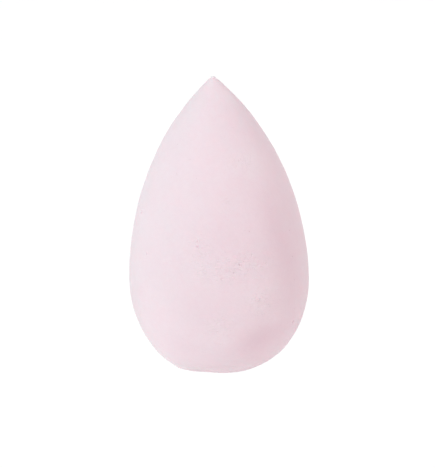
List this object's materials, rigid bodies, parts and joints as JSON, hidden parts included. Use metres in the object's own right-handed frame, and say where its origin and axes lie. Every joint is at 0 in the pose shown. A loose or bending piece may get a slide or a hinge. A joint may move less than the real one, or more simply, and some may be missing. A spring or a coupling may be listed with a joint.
{
  "type": "makeup sponge",
  "caption": "Teardrop makeup sponge of soft pale pink foam, with a pointed tip for small areas, a full rounded belly, and a flattened sole that it stands on.",
  "frame": {"origin": "centre of the flat sole that the sponge stands on", "axes": "+Z from the sole to the tip, along the axis that the body is turned about; X and Y are alike"},
  "size_m": [0.038, 0.038, 0.0621],
  "materials": {
    "foam": "matte, velvety, with fine open cells"
  },
  "bodies": {
    "root": {"sponge_body": "foam"}
  },
  "joints": []
}
